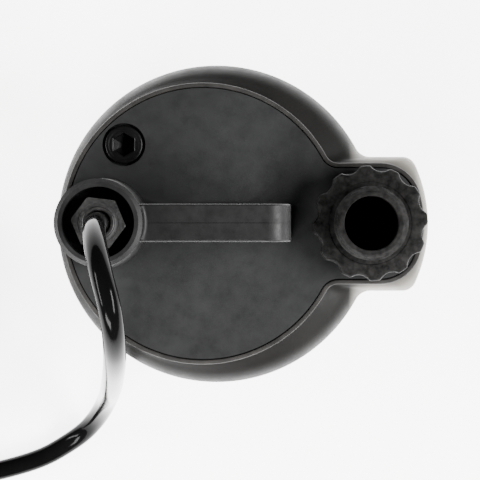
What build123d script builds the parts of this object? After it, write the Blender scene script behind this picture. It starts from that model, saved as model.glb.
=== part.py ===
from build123d import *
import math
import os

# Submersible sump pump: a sealed, oil-filled motor in a plastic housing over a vortex pump end.
# Millimetres, +Z up. The origin is on the floor, in the middle of the pump's own length and width.

# Plan places
SHAFT_X = -14.9
SHELL_X = SHAFT_X + 5.0
OUTLET_X = SHAFT_X + 61.0
GLAND_X = SHAFT_X - 36.2
OIL_X = SHAFT_X - 29.0
OIL_Y = 29.0

# Levels
SCREEN_LIFT = 0.6
VOLUTE_LOW = 14.0
SUCTION_LOW = 16.0
CHAMBER_LOW = 20.0
CHAMBER_TOP = 38.0
CASE_SPLIT = 46.0
SHOULDER_LOW = 118.0
LEDGE_TOP = 135.0
GASKET_TOP = 136.5
COVER_TOP = 142.0
RIM_TOP = 142.3
HANDLE_TOP = 184.0
TOWER_TOP = 190.0

# Plan outlines of the shell and of the cover
SHELL_R = 59.4
SHELL_HALF = 25.1
SHELL_END = 69.0
COVER_R = 49.8
COVER_HALF = 20.3
COVER_END = SHAFT_X + 79.3
RIM_GAP = 0.3
RIM_WALL = 1.7
WALL = 3.0
SHELL_CORNER = 5.0
SHELL_BULGE = 6.2
SHELL_BLEND = 6.0
COVER_CORNER = 13.0
COVER_BULGE = 6.0
COVER_BLEND = 7.0

# Motor
CAN_R = 47.0
CAN_WALL = 3.0
STATOR_R = 36.5
BORE_R = 19.0
ROTOR_R = 18.6
CORE_LOW = 74.0
CORE_TOP = 104.0
WINDING_R = 33.0
WINDING_HIGH = 11.0
SHAFT_R = 4.0
CAPACITOR_R = 4.9
SHAFT_LOW = 23.0
SHAFT_TOP = 123.0
BEARING_R = 11.0
BEARING_WIDE = 7.0
BALL_R = 1.9
BALL_CIRCLE = 7.5
BRACKET_LOW = 122.0
BRACKET_TOP = 126.0
UPPER_BEARING = 115.0
LOWER_BEARING = 50.0
O_RING_LOW = 47.5
BEARING_BOSS_R = 14.5
FIT = 0.05

# Fasteners
BOLT_CIRCLE = 40.5
BOLT_R = 2.0
BOLT_TURNS = (20.0, 110.0, 200.0, 290.0)
BOSS_R = 4.2
BOSS_RIB_LONG = 14.0
BOSS_RIB_WIDE = 3.0
BRACE_TURNS = (90.0, 180.0, 270.0)
BRACE_LONG = 16.0
BRACE_WIDE = 2.5
CASE_SCREW_CIRCLE = 52.0
CASE_SCREW_TURNS = (58.0, 115.0, 245.0, 302.0)
CASE_SCREW_R = 1.75
CASE_SCREW_BITE = 15.0
SUCTION_SCREW_CIRCLE = 40.3
SUCTION_SCREW_TURNS = (45.0, 135.0, 225.0, 315.0)
SUCTION_SCREW_R = 1.5
SUCTION_SCREW_BITE = 9.0
HEAD_R = 3.4
HEAD_HIGH = 3.0

# Pump end
SEAL_PLATE_R = 46.6
SUCTION_R = 43.0
FOOT_TURNS = (45.0, 135.0)
FOOT_WIDE = 22.0
CHAMBER_R = 37.0
IMPELLER_R = 30.0
IMPELLER_LOW = 24.0
IMPELLER_TOP = 35.0
VANES = 6
EYE_R = 14.0
RISER_R = 11.0
SCREEN_R = 46.8
SCREEN_WALL = 2.0
SCREEN_SLOT_WIDE = 3.0
SCREEN_GAPS = 40

# Discharge adapter: a standard three-quarter inch garden hose thread above a one inch thread
HOSE_R = 13.45
HOSE_BORE = 9.8
PORT_R = 16.6
PORT_WALL = 1.5
PORT_LOW = 137.8
PORT_TOP = 145.3
COLLAR_LOW = 147.0
COLLAR_TOP = 155.0
COLLAR_R = 21.0
LOBES = 12
SCALLOP_R = 5.0
SCALLOP_DEEP = 1.8
HOSE_TOP = 167.0

# Gland, handle and oil plug
GRIP_LOW_X = SHAFT_X - 17.5
GRIP_HIGH_X = SHAFT_X + 20.5
GRIP_LOW_Z = COVER_TOP + 1.0
GRIP_HIGH_Z = HANDLE_TOP - 11.0
PLUG_BOSS_LOW = 126.0
BOLT_TOP = 139.5
OIL_SEAT = 138.4
OIL_RECESS_R = 7.9
OIL_THREAD_R = 5.0
OIL_HEAD_R = 7.0
OIL_SOCKET = 7.5
OIL_SOCKET_DEEP = 4.5
GROMMET_LOW = 166.0
GROMMET_TOP = 172.0
GLAND_THREAD_R = 8.1
TOWER_R = 16.6
TOWER_LOW = RIM_TOP + 0.3
TOWER_TIP_R = 15.6
RECESS_R = 12.75
RECESS_LOW = 176.0
NUT_FLATS = 17.0
NUT_TOP = 188.0
NUT_TURN = -7.0
NUT_RING_R = 6.6
NUT_RING_HIGH = 0.5
HANDLE_WIDE = 13.5
HANDLE_FOOT_X = GLAND_X + 8.0
HANDLE_END = SHAFT_X + 31.7
HANDLE_ROUND = 0.8
HANDLE_CORNER = 8.0
GRIP_CORNER = 6.0
SEAM_DEEP = 0.25
SEAM_WIDE = 0.3

# Mains lead
CORD_D = 8.0
CORD_R = CORD_D / 2
COIL_X = -164.0
COIL_Y = -50.0
COIL_MID_R = 44.0
COIL_ROWS = 3
COIL_LAYERS = 3
COIL_PITCH = 8.2
COIL_HIGH = 24.2
COIL_LOW = 0.9
TIE_THICK = 0.8
TIE_WIDE = 12.0
STUB_LOW = 128.0

# The lead's route: up from the gland nut, over in a tight arch, down past the shell, along the floor
ROUTE = [
    (GLAND_X, 0.0, NUT_TOP),
    (-51.2, -0.3, 199.0),
    (-51.3, -1.4, 210.0),
    (-51.0, -4.2, 221.0),
    (-49.7, -9.6, 230.5),
    (-47.7, -17.6, 236.8),
    (-44.9, -27.5, 237.8),
    (-43.8, -36.6, 232.3),
    (-43.8, -43.0, 222.8),
    (-44.3, -47.2, 210.5),
    (-45.1, -50.6, 196.0),
    (-46.2, -53.8, 178.0),
    (-47.5, -57.2, 156.0),
    (-49.0, -60.6, 131.0),
    (-50.6, -63.6, 104.0),
    (-52.1, -66.0, 78.0),
    (-53.5, -68.1, 56.0),
    (-55.0, -70.9, 38.5),
    (-57.3, -74.9, 24.5),
    (-60.6, -80.0, 13.5),
    (-65.9, -85.8, 6.8),
    (-74.0, -91.4, CORD_R),
    (-82.6, -96.3, CORD_R),
    (-95.3, -100.4, CORD_R),
    (-110.5, -103.8, CORD_R),
    (-128.0, -105.6, CORD_R),
    (-148.0, -104.4, CORD_R),
]
TAIL = [
    (COIL_X - 52.0, -40.0, 5.0),
    (-216.6, -21.0, 4.4),
    (-213.8, -2.5, 4.6),
    (-206.5, 14.5, 6.6),
    (-194.5, 27.0, 9.8),
    (-178.5, 33.0, 12.4),
]
PLUG_TURN = 20.0
PLUG_MIDDLE = 13.6
RELIEF_LONG = 22.0
RELIEF_GROOVES = 4
RELIEF_PITCH = 4.2
PLUG_LONG = 33.0
BLADE_OUT = 6.35
BLADE_DROP = 4.0
BLADE_THICK = 1.5
BLADE_WIDE = 6.35
BLADE_LONG = 16.0
PIN_RISE = 7.9
PIN_R = 2.38
PIN_LONG = 18.0


def outline(z, centre_x, radius, half, end_x, corner, bulge, blend):
    """The pump's plan at a level: a circle, a bowed block to its right, filleted inside corners."""
    low_x = OUTLET_X - 20
    side_x = end_x - bulge
    with BuildSketch(Plane.XY.offset(z)) as plan:
        with Locations((centre_x, 0)):
            Circle(radius)
        with BuildLine():
            Line((low_x, half), (side_x, half))
            ThreePointArc((side_x, half), (end_x, 0), (side_x, -half))
            Line((side_x, -half), (low_x, -half))
            Line((low_x, -half), (low_x, half))
        make_face()
        ends = plan.vertices().filter_by(lambda v: v.X > side_x - 1)
        fillet(ends, corner)
        inner = plan.vertices().filter_by(lambda v: abs(abs(v.Y) - half) < 0.01)
        fillet(inner.sort_by(Axis.X)[:2], blend)
    return plan.sketch


def around(radius, turns):
    """Places on a circle about the shaft, each turned to face outwards."""
    places = []
    for turn in turns:
        angle = math.radians(turn)
        x = SHAFT_X + radius * math.cos(angle)
        y = radius * math.sin(angle)
        places.append(Location((x, y, 0), (0, 0, turn)))
    return places


def shell_plan(z, grow=0.0):
    return outline(z, SHELL_X, SHELL_R + grow, SHELL_HALF + grow, SHELL_END + grow,
                   SHELL_CORNER + grow, SHELL_BULGE, SHELL_BLEND)


def cover_plan(z, grow=0.0):
    return outline(z, SHAFT_X, COVER_R + grow, COVER_HALF + grow, COVER_END + grow,
                   COVER_CORNER + grow, COVER_BULGE, COVER_BLEND - grow)


def save(piece, name):
    piece.part.label = name
    export_step(piece.part, f"parts/{name}.step")


def ring(centre_x, outer, inner, low, high):
    """A plain round ring about a vertical axis, made as a block of its own."""
    with BuildPart() as made:
        with BuildSketch(Plane.XY.offset(low)):
            with Locations((centre_x, 0)):
                Circle(outer)
                Circle(inner, mode=Mode.SUBTRACT)
        extrude(amount=high - low)
    return made


def cord_tube(points):
    """The lead's tube along straight runs joined by tangent arcs, with its radii printed."""
    runs = [Vector(*b) - Vector(*a) for a, b in zip(points[:-1], points[1:])]
    radii = []
    for before, after in zip(runs[:-1], runs[1:]):
        half_turn = math.radians(before.get_angle(after)) / 2
        radii.append(0.45 * min(before.length, after.length) / math.tan(half_turn))
    with BuildPart() as made:
        with BuildLine() as path:
            FilletPolyline(*points, radius=radii)
        with BuildSketch(Plane(origin=path.line @ 0, z_dir=path.line % 0)):
            Circle(CORD_R)
        sweep(path=path.line)
    length = sum(edge.length for edge in path.line.edges())
    share = made.part.volume / (math.pi * CORD_R**2 * length)
    print("cord radii", [round(r, 1) for r in radii], "length", round(length, 1),
          "volume share", round(share, 4))
    return made, length


os.makedirs("parts", exist_ok=True)

# --- Motor housing: outer shell, inner can, riser duct and the rim around the cover ---
# Each row: level, shift from the shaft, radius, half width, end, corner, bulge, blend
SHOULDER = [
    (SHOULDER_LOW, SHELL_X - SHAFT_X, SHELL_R, SHELL_HALF, SHELL_END - SHAFT_X,
     SHELL_CORNER, SHELL_BULGE, SHELL_BLEND),
    (124.0, 4.9, 59.1, 25.0, 83.8, 5.2, 6.2, 6.0),
    (128.5, 4.5, 57.9, 24.7, 83.6, 6.0, 6.2, 6.0),
    (131.5, 3.6, 56.0, 24.2, 83.2, 7.5, 6.2, 6.0),
    (133.5, 2.0, 53.6, 23.5, 82.4, 10.0, 6.2, 5.6),
    (135.0, 0.2, 51.6, 22.8, 81.6, 13.0, 6.1, 5.2),
]
with BuildPart() as motor_housing:
    with BuildSketch(Plane.XY.offset(CASE_SPLIT)):
        add(shell_plan(0))
    extrude(amount=SHOULDER_LOW - CASE_SPLIT)
    for level, shift, radius, half, end, corner, bulge, blend in SHOULDER:
        add(outline(level, SHAFT_X + shift, radius, half, SHAFT_X + end, corner, bulge, blend))
    loft()
    with BuildSketch(Plane.XY.offset(SHOULDER[-1][0])):
        add(cover_plan(0, RIM_GAP + RIM_WALL))
    extrude(amount=RIM_TOP - SHOULDER[-1][0])
    with BuildSketch(Plane.XY.offset(LEDGE_TOP)):
        add(cover_plan(0, RIM_GAP))
    extrude(amount=RIM_TOP - LEDGE_TOP, mode=Mode.SUBTRACT)
    with BuildSketch(Plane.XY.offset(CASE_SPLIT)):
        with Locations((SHAFT_X, 0)):
            Circle(CAN_R)
        with Locations((OUTLET_X, 0)):
            Circle(RISER_R)
    extrude(amount=LEDGE_TOP - CASE_SPLIT, mode=Mode.SUBTRACT)
    with BuildSketch(Plane.XY.offset(CASE_SPLIT)):
        add(shell_plan(0, -WALL))
        with Locations((SHAFT_X, 0)):
            Circle(CAN_R + CAN_WALL, mode=Mode.SUBTRACT)
        with Locations((OUTLET_X, 0)):
            Circle(RISER_R + WALL, mode=Mode.SUBTRACT)
        with Locations(*around(CASE_SCREW_CIRCLE, CASE_SCREW_TURNS)):
            Rectangle(BOSS_RIB_LONG, BOSS_RIB_WIDE, mode=Mode.SUBTRACT)
            Circle(BOSS_R, mode=Mode.SUBTRACT)
        with Locations(*around(CASE_SCREW_CIRCLE, BRACE_TURNS)):
            Rectangle(BRACE_LONG, BRACE_WIDE, mode=Mode.SUBTRACT)
    extrude(amount=SHOULDER_LOW - 2 - CASE_SPLIT, mode=Mode.SUBTRACT)
    with BuildSketch(Plane.XY.offset(CASE_SPLIT)):
        with Locations(*around(CASE_SCREW_CIRCLE, CASE_SCREW_TURNS)):
            Circle(CASE_SCREW_R)
    extrude(amount=CASE_SCREW_BITE, mode=Mode.SUBTRACT)
save(motor_housing, "motor_housing")

# --- Volute housing: the pump chamber, its outlet into the riser, and four feet ---
with BuildPart() as volute_housing:
    with BuildSketch(Plane.XY.offset(VOLUTE_LOW)):
        add(shell_plan(0))
    extrude(amount=CASE_SPLIT - VOLUTE_LOW)
    with BuildSketch(Plane.XY.offset(VOLUTE_LOW)):
        add(shell_plan(0, -WALL))
        with Locations((SHAFT_X, 0)):
            Circle(CAN_R + CAN_WALL, mode=Mode.SUBTRACT)
        with Locations((OUTLET_X, 0)):
            Circle(RISER_R + WALL, mode=Mode.SUBTRACT)
        with Locations((OUTLET_X - 12, 0)):
            Rectangle(24, 24, mode=Mode.SUBTRACT)
        with Locations(*around(CASE_SCREW_CIRCLE, CASE_SCREW_TURNS)):
            Circle(BOSS_R, mode=Mode.SUBTRACT)
            Rectangle(BOSS_RIB_LONG, BOSS_RIB_WIDE, mode=Mode.SUBTRACT)
    extrude(amount=CASE_SPLIT - WALL - VOLUTE_LOW, mode=Mode.SUBTRACT)
    with BuildSketch(Plane.XY.offset(CHAMBER_TOP)):
        with Locations((SHAFT_X, 0)):
            Circle(SEAL_PLATE_R + 0.2)
    extrude(amount=CASE_SPLIT - CHAMBER_TOP, mode=Mode.SUBTRACT)
    with BuildSketch(Plane.XY.offset(CHAMBER_LOW)):
        with Locations((SHAFT_X, 0)):
            Circle(CHAMBER_R)
    extrude(amount=CHAMBER_TOP - CHAMBER_LOW, mode=Mode.SUBTRACT)
    with BuildSketch(Plane.XY.offset(VOLUTE_LOW)):
        with Locations((SHAFT_X, 0)):
            Circle(SUCTION_R + 0.2)
    extrude(amount=CHAMBER_LOW - VOLUTE_LOW, mode=Mode.SUBTRACT)
    with BuildSketch(Plane.XY.offset(CHAMBER_LOW + 2)):
        with Locations(((SHAFT_X + OUTLET_X) / 2 + 12, 0)):
            Rectangle(OUTLET_X - SHAFT_X - 24, 16)
    extrude(amount=CHAMBER_TOP - CHAMBER_LOW - 4, mode=Mode.SUBTRACT)
    with BuildSketch(Plane.XY.offset(CHAMBER_LOW + 2)):
        with Locations((OUTLET_X, 0)):
            Circle(RISER_R)
    extrude(amount=CASE_SPLIT - CHAMBER_LOW - 2, mode=Mode.SUBTRACT)
    with BuildSketch(Plane.XY):
        with Locations((SHELL_X, 0)):
            Circle(SHELL_R - 1)
            Circle(SHELL_R - 7, mode=Mode.SUBTRACT)
        with Locations(*[Location((SHELL_X, 0, 0), (0, 0, turn)) for turn in FOOT_TURNS]):
            Rectangle(4 * SHELL_R, FOOT_WIDE, mode=Mode.INTERSECT)
    extrude(amount=VOLUTE_LOW + 1)
    with BuildSketch(Plane.XY.offset(VOLUTE_LOW)):
        with Locations(*around(CASE_SCREW_CIRCLE, CASE_SCREW_TURNS)):
            Circle(CASE_SCREW_R)
    extrude(amount=CASE_SPLIT - VOLUTE_LOW, mode=Mode.SUBTRACT)
    with BuildSketch(Plane.XY.offset(VOLUTE_LOW)):
        with Locations(*around(CASE_SCREW_CIRCLE, CASE_SCREW_TURNS)):
            Circle(HEAD_R + 0.2)
    extrude(amount=HEAD_HIGH, mode=Mode.SUBTRACT)
    with BuildSketch(Plane.XY.offset(CHAMBER_LOW)):
        with Locations(*around(SUCTION_SCREW_CIRCLE, SUCTION_SCREW_TURNS)):
            Circle(SUCTION_SCREW_R)
    extrude(amount=SUCTION_SCREW_BITE, mode=Mode.SUBTRACT)
save(volute_housing, "volute_housing")

# --- Carrying handle: a bar over a finger opening, rounded along its edges, with the mould's seam ---
with BuildPart() as handle:
    with BuildSketch(Plane.XZ) as handle_side:
        with BuildLine():
            FilletPolyline((HANDLE_FOOT_X, COVER_TOP - 1), (HANDLE_FOOT_X, HANDLE_TOP),
                           (HANDLE_END, HANDLE_TOP), (HANDLE_END + 0.5, COVER_TOP - 1),
                           radius=[0.5, HANDLE_CORNER])
            Line((HANDLE_END + 0.5, COVER_TOP - 1), (HANDLE_FOOT_X, COVER_TOP - 1))
        make_face()
    extrude(amount=HANDLE_WIDE / 2, both=True)
    with BuildSketch(Plane.XZ):
        with Locations(((GRIP_LOW_X + GRIP_HIGH_X) / 2, (GRIP_LOW_Z + GRIP_HIGH_Z) / 2)):
            RectangleRounded(GRIP_HIGH_X - GRIP_LOW_X, GRIP_HIGH_Z - GRIP_LOW_Z, GRIP_CORNER)
    extrude(amount=HANDLE_WIDE, both=True, mode=Mode.SUBTRACT)
    side_edges = handle.edges().filter_by(
        lambda e: abs(abs(e.center().Y) - HANDLE_WIDE / 2) < 0.01 and e.center().Z > COVER_TOP)
    fillet(side_edges, HANDLE_ROUND)
    with BuildSketch(Plane.XZ):
        add(handle_side.sketch)
        offset(handle_side.sketch, amount=-SEAM_DEEP, mode=Mode.SUBTRACT)
    extrude(amount=SEAM_WIDE / 2, both=True, mode=Mode.SUBTRACT)

# --- Top cover: plate, gland tower, handle and discharge port in one moulding ---
with BuildPart() as top_cover:
    with BuildSketch(Plane.XY.offset(GASKET_TOP)):
        add(cover_plan(0))
    extrude(amount=COVER_TOP - GASKET_TOP)
    with Locations((GLAND_X, 0, TOWER_LOW)):
        Cone(TOWER_R, TOWER_TIP_R, TOWER_TOP - TOWER_LOW, align=(Align.CENTER, Align.CENTER, Align.MIN))
    with BuildSketch(Plane.XY.offset(COVER_TOP - 1)):
        with Locations((SHAFT_X, 0)):
            Circle(COVER_R)
        with Locations((GLAND_X, 0)):
            Circle(TOWER_R, mode=Mode.INTERSECT)
    extrude(amount=TOWER_LOW - COVER_TOP + 1)
    add(handle.part)
    with Locations((OUTLET_X, 0, COVER_TOP - 1)):
        Cylinder(PORT_R + PORT_WALL, PORT_TOP - COVER_TOP + 1,
                 align=(Align.CENTER, Align.CENTER, Align.MIN))
    with BuildSketch(Plane.XY.offset(PLUG_BOSS_LOW)):
        with Locations((SHAFT_X, 0)):
            Circle(CAN_R - 0.3)
        with Locations((OIL_X, OIL_Y)):
            Circle(9.0, mode=Mode.INTERSECT)
        with Locations(*around(BOLT_CIRCLE, BOLT_TURNS)):
            Circle(4.5)
        with Locations((GLAND_X, 0)):
            Circle(7.5)
    extrude(amount=GASKET_TOP - PLUG_BOSS_LOW)
    with BuildSketch(Plane.XY.offset(PLUG_BOSS_LOW)):
        with Locations(*around(BOLT_CIRCLE, BOLT_TURNS)):
            Circle(BOLT_R)
    extrude(amount=BOLT_TOP - PLUG_BOSS_LOW, mode=Mode.SUBTRACT)
    with Locations((OIL_X, OIL_Y, OIL_SEAT)):
        Cylinder(OIL_RECESS_R, COVER_TOP - OIL_SEAT, align=(Align.CENTER, Align.CENTER, Align.MIN),
                 mode=Mode.SUBTRACT)
    with Locations((OIL_X, OIL_Y, PLUG_BOSS_LOW)):
        Cylinder(OIL_THREAD_R + FIT, OIL_SEAT - PLUG_BOSS_LOW,
                 align=(Align.CENTER, Align.CENTER, Align.MIN), mode=Mode.SUBTRACT)
    with Locations((GLAND_X, 0, PLUG_BOSS_LOW)):
        Cylinder(CORD_R + 0.3, TOWER_TOP - PLUG_BOSS_LOW,
                 align=(Align.CENTER, Align.CENTER, Align.MIN), mode=Mode.SUBTRACT)
    with Locations((GLAND_X, 0, GROMMET_LOW)):
        Cylinder(GLAND_THREAD_R + FIT, RECESS_LOW - GROMMET_LOW,
                 align=(Align.CENTER, Align.CENTER, Align.MIN), mode=Mode.SUBTRACT)
    with Locations((GLAND_X, 0, RECESS_LOW)):
        Cylinder(RECESS_R, TOWER_TOP - RECESS_LOW, align=(Align.CENTER, Align.CENTER, Align.MIN),
                 mode=Mode.SUBTRACT)
    with Locations((OUTLET_X, 0, GASKET_TOP)):
        Cylinder(RISER_R, PORT_LOW - GASKET_TOP, align=(Align.CENTER, Align.CENTER, Align.MIN),
                 mode=Mode.SUBTRACT)
    with Locations((OUTLET_X, 0, PORT_LOW)):
        Cylinder(PORT_R + FIT, PORT_TOP - PORT_LOW, align=(Align.CENTER, Align.CENTER, Align.MIN),
                 mode=Mode.SUBTRACT)
    tower_rim = top_cover.edges().filter_by(GeomType.CIRCLE).filter_by(
        lambda e: abs(e.center().Z - TOWER_TOP) < 0.01 and e.radius > RECESS_R + 1)
    chamfer(tower_rim, length=1.0, length2=1.4)
save(top_cover, "top_cover")

# --- Gasket between the cover and the housing, also round the riser ---
with BuildPart() as cover_gasket:
    with BuildSketch(Plane.XY.offset(LEDGE_TOP)):
        add(cover_plan(0, -0.4))
        with Locations((SHAFT_X, 0)):
            Circle(CAN_R + 0.2, mode=Mode.SUBTRACT)
        with Locations((OUTLET_X, 0)):
            Circle(RISER_R + 0.5, mode=Mode.SUBTRACT)
    extrude(amount=GASKET_TOP - LEDGE_TOP)
save(cover_gasket, "cover_gasket")

# --- Cord gland: compression grommet, slip washer and hex nut ---
save(ring(GLAND_X, GLAND_THREAD_R - FIT, CORD_R, GROMMET_LOW, GROMMET_TOP), "gland_grommet")
save(ring(GLAND_X, GLAND_THREAD_R - FIT, CORD_R + 0.3, GROMMET_TOP, GROMMET_TOP + 1), "gland_washer")
with BuildPart() as gland_nut:
    with BuildSketch(Plane.XY.offset(RECESS_LOW + 1)):
        with Locations((GLAND_X, 0)):
            RegularPolygon(NUT_FLATS / 2, 6, major_radius=False, rotation=NUT_TURN)
    extrude(amount=NUT_TOP - RECESS_LOW - 1)
    with BuildSketch(Plane.XY.offset(GROMMET_TOP + 1)):
        with Locations((GLAND_X, 0)):
            Circle(GLAND_THREAD_R)
    extrude(amount=RECESS_LOW - GROMMET_TOP)
    with BuildSketch(Plane.XY.offset(NUT_TOP)):
        with Locations((GLAND_X, 0)):
            Circle(NUT_RING_R)
            Circle(NUT_RING_R - 1, mode=Mode.SUBTRACT)
    extrude(amount=NUT_RING_HIGH)
    with BuildSketch(Plane.XY.offset(GROMMET_TOP + 1)):
        with Locations((GLAND_X, 0)):
            Circle(CORD_R + 0.2)
    extrude(amount=NUT_TOP - GROMMET_TOP, mode=Mode.SUBTRACT)
save(gland_nut, "gland_nut")

# --- Oil filler plug with a hex socket, and its washer ---
with BuildPart() as oil_plug:
    with BuildSketch(Plane.XY.offset(OIL_SEAT + 1)):
        with Locations((OIL_X, OIL_Y)):
            Circle(OIL_HEAD_R)
    extrude(amount=COVER_TOP - OIL_SEAT - 1.2)
    head_top = oil_plug.edges().group_by(Axis.Z)[-1]
    fillet(head_top, 0.6)
    with BuildSketch(Plane.XY.offset(PLUG_BOSS_LOW + 1)):
        with Locations((OIL_X, OIL_Y)):
            Circle(OIL_THREAD_R)
    extrude(amount=OIL_SEAT - PLUG_BOSS_LOW)
    with BuildSketch(Plane.XY.offset(COVER_TOP)):
        with Locations((OIL_X, OIL_Y)):
            RegularPolygon(OIL_SOCKET / 2, 6, major_radius=False, rotation=30)
    extrude(amount=-OIL_SOCKET_DEEP, mode=Mode.SUBTRACT)
save(oil_plug, "oil_plug")
with BuildPart() as oil_washer:
    with BuildSketch(Plane.XY.offset(OIL_SEAT)):
        with Locations((OIL_X, OIL_Y)):
            Circle(OIL_HEAD_R - 0.4)
            Circle(OIL_THREAD_R + 0.1, mode=Mode.SUBTRACT)
    extrude(amount=1)
save(oil_washer, "oil_plug_washer")

# --- Hose adapter and its washer ---
with BuildPart() as hose_adapter:
    with BuildSketch(Plane.XY.offset(COLLAR_LOW)):
        with Locations((OUTLET_X, 0)):
            Circle(COLLAR_R)
            with PolarLocations(COLLAR_R + SCALLOP_R - SCALLOP_DEEP, LOBES, start_angle=20):
                Circle(SCALLOP_R, mode=Mode.SUBTRACT)
    extrude(amount=COLLAR_TOP - COLLAR_LOW)
    rims = hose_adapter.edges().group_by(Axis.Z)[-1]
    fillet(rims, 0.8)
    with Locations((OUTLET_X, 0, COLLAR_TOP)):
        Cylinder(HOSE_R - 1, 2, align=(Align.CENTER, Align.CENTER, Align.MIN))
    with Locations((OUTLET_X, 0, COLLAR_TOP + 2)):
        Cylinder(HOSE_R, HOSE_TOP - COLLAR_TOP - 2, align=(Align.CENTER, Align.CENTER, Align.MIN))
    chamfer(hose_adapter.edges().group_by(Axis.Z)[-1], length=1.5, length2=2.0)
    with Locations((OUTLET_X, 0, PORT_LOW + 0.5)):
        Cylinder(PORT_R, COLLAR_LOW - PORT_LOW - 0.5, align=(Align.CENTER, Align.CENTER, Align.MIN))
    with Locations((OUTLET_X, 0, PORT_LOW)):
        Cylinder(HOSE_BORE, HOSE_TOP - PORT_LOW, align=(Align.CENTER, Align.CENTER, Align.MIN),
                 mode=Mode.SUBTRACT)
save(hose_adapter, "hose_adapter")
save(ring(OUTLET_X, PORT_R + 1.3, PORT_R + 0.15, PORT_TOP, COLLAR_LOW), "adapter_washer")

# --- Seal plate: the motor's lower end plate, with the lower bearing above and the seal below ---
with BuildPart() as seal_plate:
    with BuildSketch(Plane.XY.offset(CHAMBER_TOP + 0.2)):
        with Locations((SHAFT_X, 0)):
            Circle(SEAL_PLATE_R)
    extrude(amount=CASE_SPLIT - CHAMBER_TOP - 0.2)
    with BuildSketch(Plane.XY.offset(CASE_SPLIT)):
        with Locations((SHAFT_X, 0)):
            Circle(CAN_R - 0.2)
            Circle(35.0, mode=Mode.SUBTRACT)
            Circle(BEARING_BOSS_R)
    extrude(amount=5)
    with BuildSketch(Plane.XY.offset(CASE_SPLIT + 5)):
        with Locations((SHAFT_X, 0)):
            Circle(BEARING_BOSS_R)
    extrude(amount=LOWER_BEARING + BEARING_WIDE - CASE_SPLIT - 5)
    with BuildSketch(Plane.XY.offset(LOWER_BEARING)):
        with Locations((SHAFT_X, 0)):
            Circle(BEARING_R)
    extrude(amount=BEARING_WIDE, mode=Mode.SUBTRACT)
    with BuildSketch(Plane.XY.offset(CHAMBER_TOP)):
        with Locations((SHAFT_X, 0)):
            Circle(9.5)
    extrude(amount=5, mode=Mode.SUBTRACT)
    with BuildSketch(Plane.XY.offset(CHAMBER_TOP)):
        with Locations((SHAFT_X, 0)):
            Circle(SHAFT_R + 1)
    extrude(amount=20, mode=Mode.SUBTRACT)
    with BuildSketch(Plane.XY.offset(O_RING_LOW)):
        with Locations((SHAFT_X, 0)):
            Circle(CAN_R + 1)
            Circle(CAN_R - 2.2, mode=Mode.SUBTRACT)
    extrude(amount=2, mode=Mode.SUBTRACT)
    with BuildSketch(Plane.XY.offset(CHAMBER_TOP)):
        with Locations(*around(BOLT_CIRCLE, BOLT_TURNS)):
            Circle(BOLT_R + 0.1)
    extrude(amount=20, mode=Mode.SUBTRACT)
    with BuildSketch(Plane.XY.offset(CHAMBER_TOP)):
        with Locations(*around(BOLT_CIRCLE, BOLT_TURNS)):
            Circle(HEAD_R + 0.3)
    extrude(amount=4.2, mode=Mode.SUBTRACT)
save(seal_plate, "seal_plate")
save(ring(SHAFT_X, CAN_R - 0.05, CAN_R - 2.1, O_RING_LOW + 0.1, O_RING_LOW + 1.9), "seal_plate_o_ring")

# --- Suction plate over the impeller, with its screws ---
with BuildPart() as suction_plate:
    with BuildSketch(Plane.XY.offset(SUCTION_LOW)):
        with Locations((SHAFT_X, 0)):
            Circle(SUCTION_R)
    extrude(amount=CHAMBER_LOW - SUCTION_LOW)
    with BuildSketch(Plane.XY.offset(SUCTION_LOW - 3)):
        with Locations((SHAFT_X, 0)):
            Circle(EYE_R + 2.5)
    extrude(amount=3)
    with BuildSketch(Plane.XY.offset(SUCTION_LOW - 3)):
        with Locations((SHAFT_X, 0)):
            Circle(EYE_R)
    extrude(amount=CHAMBER_LOW - SUCTION_LOW + 3, mode=Mode.SUBTRACT)
    with BuildSketch(Plane.XY.offset(SUCTION_LOW)):
        with Locations(*around(SUCTION_SCREW_CIRCLE, SUCTION_SCREW_TURNS)):
            Circle(SUCTION_SCREW_R + 0.1)
    extrude(amount=CHAMBER_LOW - SUCTION_LOW, mode=Mode.SUBTRACT)
    mouth = suction_plate.edges().filter_by(GeomType.CIRCLE).filter_by(
        lambda e: abs(e.radius - EYE_R) < 0.01).sort_by(Axis.Z)[0]
    fillet(mouth, 1.6)
save(suction_plate, "suction_plate")


def screws(places, head_low, head_high, head_r, shank_r, tip, slot):
    """A set of alike screws with their heads down, each a separate solid with a cross recess."""
    with BuildPart() as made:
        with BuildSketch(Plane.XY.offset(head_low)):
            with Locations(*places):
                Circle(head_r)
        extrude(amount=head_high)
        with BuildSketch(Plane.XY.offset(head_low + head_high)):
            with Locations(*places):
                Circle(shank_r)
        extrude(amount=tip - head_low - head_high)
        with BuildSketch(Plane.XY.offset(head_low)):
            with Locations(*places):
                Rectangle(2 * slot, 0.7)
                Rectangle(0.7, 2 * slot)
        extrude(amount=0.6 * head_high, mode=Mode.SUBTRACT)
    return made


save(screws(around(SUCTION_SCREW_CIRCLE, SUCTION_SCREW_TURNS), SUCTION_LOW - 1.6, 1.6, 2.6,
            SUCTION_SCREW_R, CHAMBER_LOW + SUCTION_SCREW_BITE - 0.5, 1.6), "suction_screws")
save(screws(around(CASE_SCREW_CIRCLE, CASE_SCREW_TURNS), VOLUTE_LOW + 0.2, HEAD_HIGH - 0.2, HEAD_R,
            CASE_SCREW_R, CASE_SPLIT + CASE_SCREW_BITE - 0.5, 2.2), "case_screws")
save(screws(around(BOLT_CIRCLE, BOLT_TURNS), CHAMBER_TOP + 1.2, 3.0, HEAD_R,
            BOLT_R, BOLT_TOP - 0.5, 2.2), "through_bolts")

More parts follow.
